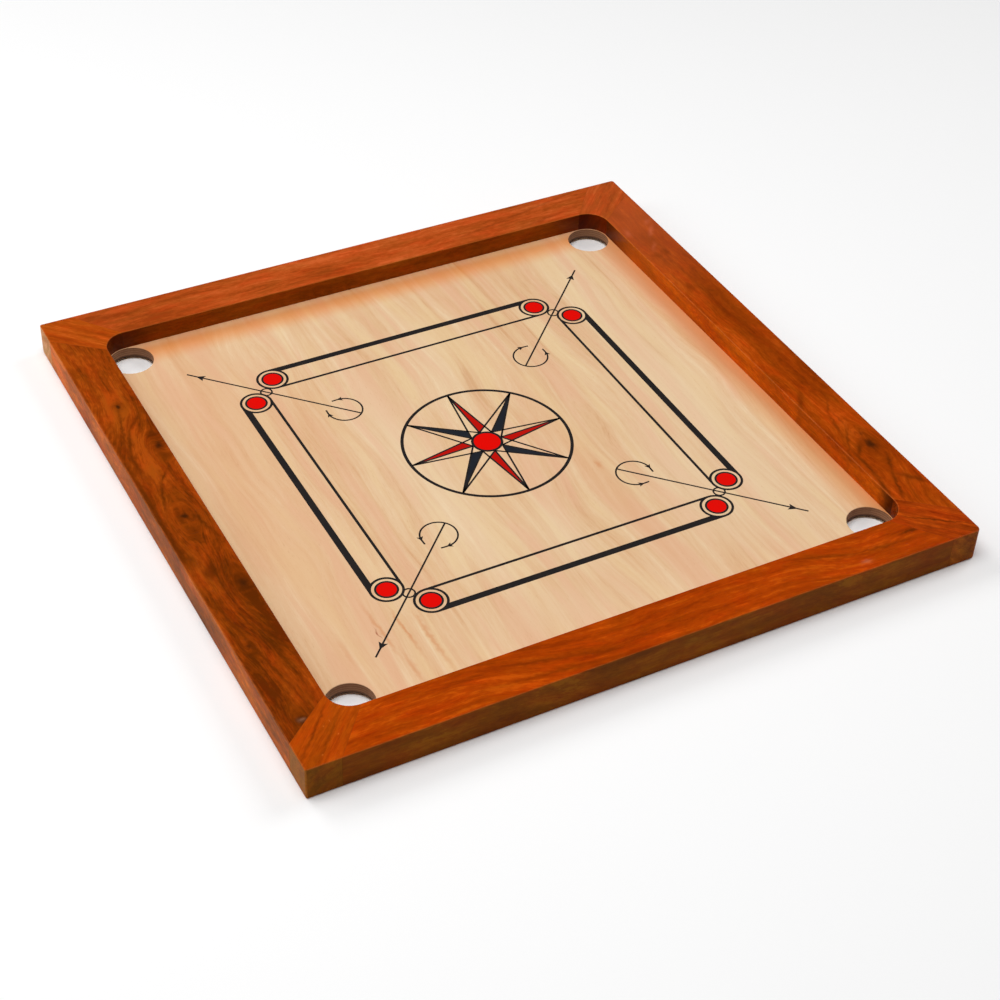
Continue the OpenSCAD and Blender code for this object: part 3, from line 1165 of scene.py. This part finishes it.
def print_centre(dark, blade_dark, red, blade_red):
    """The ring, the eight-pointed star with one half of each blade filled, and the disc."""
    ring = Print("centre_ring", dark, "ink_dark", 0)
    ring.ring(CENTRE_SHIFT, RING_RADIUS, RING_LINE)
    ring.done()
    blades = {
        0: Print("star_red_halves", blade_red, "ink_red", 1),
        1: Print("star_dark_halves", blade_dark, "ink_dark", 1),
    }
    lines = Print("star_lines", dark, "ink_dark", 2)
    angles = [STAR_TURN + 360 / STAR_POINTS * k for k in range(STAR_POINTS)]
    tips = [CENTRE_SHIFT + polar(STAR_TIP, angle) for angle in angles]
    notches = [CENTRE_SHIFT + polar(STAR_NOTCH, angle) for angle in angles]
    for k in range(STAR_POINTS):
        before, after = (k - 1) % STAR_POINTS, (k + 1) % STAR_POINTS
        corner = crossing(tips[k], notches[before], tips[before], notches[k])
        blades[k % 2].plate([tips[k], notches[k], corner])
        for target in (notches[before], notches[k], notches[after]):
            lines.bar(tips[k], target, STAR_LINE)
    for piece in (*blades.values(), lines):
        piece.done()
    disc = Print("centre_disc", red, "ink_red", 3)
    disc.disc(CENTRE_SHIFT, DISC_RADIUS - DISC_LINE / 2)
    disc.done()
    rim = Print("centre_disc_rim", dark, "ink_dark", 4)
    rim.ring(CENTRE_SHIFT, DISC_RADIUS, DISC_LINE)
    rim.done()


def print_markings():
    dark = make_ink("ink_dark")
    blade_dark = make_ink("ink_blue_black")
    red = make_ink("ink_red")
    blade_red = make_ink("ink_deep_red")
    print_base_lines(dark)
    print_base_circles(dark, red)
    print_corner_circles(dark)
    print_diagonal_arrows(dark)
    print_turning_arcs(dark)
    print_centre(dark, blade_dark, red, blade_red)


# ---------------------------------------------------------------- stage

# The camera's aim and distance are in the part's millimetres, its angles in degrees
CAMERA_AIM = (-38.3, -102.7, 24.0)
CAMERA_AZIMUTH = -29.33
CAMERA_ELEVATION = 40.08
CAMERA_ROLL = 2.47
CAMERA_DISTANCE = 1963.7
CAMERA_LENS = 72.0
CAMERA_SENSOR = 36.0

# The floor and the lights are in metres. Each softbox: azimuth, elevation, distance, side, watts
FLOOR_SIZE = 24.0
FLOOR_CELLS = 8
FLOOR_TONE = linear(252, 252, 252)
SOFTBOXES = {
    "softbox_above": (-60, 76, 3.2, 2.2, 71),
    "softbox_back_left": (-155, 45, 3.4, 1.4, 26),
    "softbox_right": (98, 45, 3.4, 1.4, 26),
    "softbox_left": (-116, 32, 3.4, 1.6, 20),
}
STUDIO_GLOW = 0.07


def direction(azimuth, elevation):
    """The way from the board to something at that azimuth, counted from the front, and elevation."""
    a, e = math.radians(azimuth), math.radians(elevation)
    return Vector((math.sin(a) * math.cos(e), -math.cos(a) * math.cos(e), math.sin(e)))


def make_camera():
    camera = bpy.data.objects.new("camera", bpy.data.cameras.new("camera"))
    bpy.context.scene.collection.objects.link(camera)
    back = direction(CAMERA_AZIMUTH, CAMERA_ELEVATION)
    camera.location = (Vector(CAMERA_AIM) + back * CAMERA_DISTANCE) * MM
    roll = Quaternion((0, 0, 1), math.radians(CAMERA_ROLL))
    camera.rotation_mode = "QUATERNION"
    camera.rotation_quaternion = (-back).to_track_quat("-Z", "Y") @ roll
    camera.data.lens = CAMERA_LENS
    camera.data.sensor_width = CAMERA_SENSOR
    bpy.context.scene.camera = camera


def make_floor():
    g = Graph("floor_paper")
    grain = g.noise(g.split(g.millimetres()), (3, 3, 3), 1.0, detail=2)
    material = g.surface(FLOOR_TONE, 0.8, g.bump(grain, 0.02, strength=0.2))
    mesh = bmesh.new()
    bmesh.ops.create_grid(
        mesh, x_segments=FLOOR_CELLS, y_segments=FLOOR_CELLS, size=FLOOR_SIZE / 2
    )
    data = bpy.data.meshes.new("floor")
    mesh.to_mesh(data)
    mesh.free()
    floor = bpy.data.objects.new("floor", data)
    bpy.context.scene.collection.objects.link(floor)
    data.materials.append(material)


def make_softbox(name, azimuth, elevation, distance, size, power):
    """A square white light that faces the middle of the board."""
    light = bpy.data.lights.new(name, "AREA")
    light.shape = "SQUARE"
    light.size = size
    light.energy = power
    box = bpy.data.objects.new(name, light)
    bpy.context.scene.collection.objects.link(box)
    away = direction(azimuth, elevation)
    box.location = away * distance
    box.rotation_mode = "QUATERNION"
    box.rotation_quaternion = away.to_track_quat("Z", "Y")


def make_lights():
    for name, row in SOFTBOXES.items():
        make_softbox(name, *row)
    world = bpy.data.worlds.new("studio")
    world.use_nodes = True
    background = world.node_tree.nodes["Background"]
    background.inputs["Color"].default_value = (1.0, 1.0, 1.0, 1.0)
    background.inputs["Strength"].default_value = STUDIO_GLOW
    bpy.context.scene.world = world


def paint(node, material):
    """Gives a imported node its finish."""
    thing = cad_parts[node]
    thing.data.materials.clear()
    thing.data.materials.append(material)


make_camera()
make_floor()
make_lights()
for node, material in make_frame_materials().items():
    paint(node, material)
paint("playing_panel", make_panel_material())
paint("joint_dowels", make_dowel_material())
paint("panel_screws", make_screw_material())
print_markings()

bpy.context.scene.view_settings.view_transform = "Standard"
